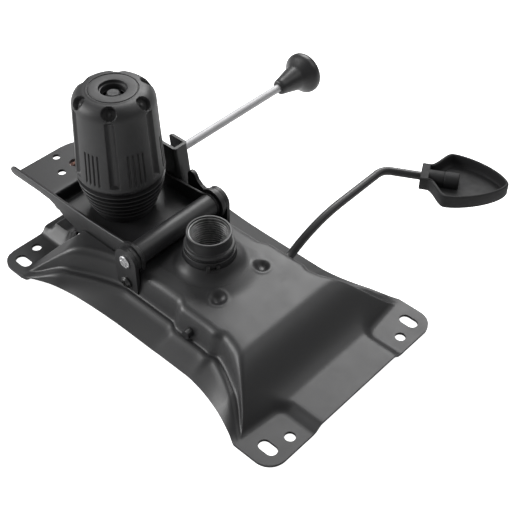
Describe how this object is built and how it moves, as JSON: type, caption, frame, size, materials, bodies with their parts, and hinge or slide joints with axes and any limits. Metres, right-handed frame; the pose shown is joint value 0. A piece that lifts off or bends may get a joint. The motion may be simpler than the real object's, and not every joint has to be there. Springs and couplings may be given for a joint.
{
  "type": "chair tilt mechanism",
  "caption": "Push back tilt mechanism for an office chair, seat side down: pressed seat plate with gas lift socket, tilt tray, sprung tension knob, lock rod and lift lever with paddle.",
  "frame": {"origin": "centre of the four seat slots, on the plane of the ears that meets the seat", "axes": "+X towards the chair's front, +Y towards the side with the levers, +Z away from the seat, towards the knob's top"},
  "size_m": [0.3315, 0.3186, 0.143],
  "materials": {
    "black_steel": "satin black powder coat",
    "tray_steel": "satin black powder coat, slightly darker",
    "rod_black": "satin black coated rod",
    "zinc": "bright zinc plate, satin",
    "rod_steel": "satin zinc plated rod",
    "spring_steel": "oiled spring wire",
    "dark_zinc": "dark zinc wire",
    "black_screw": "black oxide",
    "copper": "copper coloured weld nut",
    "knob_plastic": "moulded, fine satin grain",
    "bell_plastic": "moulded, satin",
    "paddle_plastic": "moulded, satin",
    "boot_plastic": "moulded ribs, satin",
    "bush_plastic": "moulded, matte"
  },
  "bodies": {
    "base": {"seat_plate": "black_steel", "socket_boss": "black_steel", "cylinder_socket": "black_steel", "socket_clip": "dark_zinc", "pivot_ear_near": "black_steel", "pivot_ear_far": "black_steel", "ear_screw_near": "black_screw", "ear_screw_far": "black_screw", "pivot_pin": "zinc", "pivot_pin_cap": "zinc", "bolt_bridge": "black_steel", "bolt_washer": "zinc", "tension_bolt": "zinc", "lock_stay": "black_steel", "tension_spring": "spring_steel", "spring_boot": "boot_plastic"},
    "tray": {"tilt_tray": "tray_steel", "pivot_tube": "tray_steel", "tube_collar_near": "tray_steel", "tube_collar_far": "tray_steel", "pivot_bush_near": "bush_plastic", "pivot_bush_far": "bush_plastic", "back_bar_nut": "copper", "lock_bracket": "tray_steel", "spring_cup": "bush_plastic"},
    "spring_cap": {"thrust_washer": "zinc"},
    "knob": {"tension_knob": "knob_plastic", "knob_nut": "zinc"},
    "lock": {"lock_rod": "rod_steel", "lock_knob": "bell_plastic", "lock_clip": "dark_zinc"},
    "lift": {"lift_lever_rod": "rod_black", "lift_tongue": "black_steel", "lift_paddle": "paddle_plastic", "lever_clip": "dark_zinc"}
  },
  "joints": [
    {"name": "tray_tilt", "type": "hinge", "parent": "base", "child": "tray", "pos_m": [-0.038, 0, 0.042], "axis": [0, 1, 0], "range_deg": [0, 12], "stiffness_Nm_per_rad": 190, "springref_deg": -5.73, "deforming": ["tension_spring", "spring_boot"]},
    {"name": "knob_feed", "type": "slide", "parent": "base", "child": "spring_cap", "axis": [0, 0, 1], "range_m": [-0.00175, 0.00175]},
    {"name": "knob_turn", "type": "hinge", "parent": "spring_cap", "child": "knob", "pos_m": [-0.0945, 0, 0.12], "axis": [0, 0, 1], "range_deg": [-360, 360]},
    {"name": "lock_slide", "type": "slide", "parent": "tray", "child": "lock", "axis": [0, 1, 0], "range_m": [0, 0.006]},
    {"name": "lift_lever", "type": "hinge", "parent": "base", "child": "lift", "pos_m": [0.03, 0, 0.0188], "axis": [0, 1, 0], "range_deg": [0, 8], "stiffness_Nm_per_rad": 0.6, "springref_deg": -9.74}
  ],
  "couplings": [
    {"joint": "knob_feed", "follows": "knob_turn", "m_per_rad": 0.00027852}
  ]
}
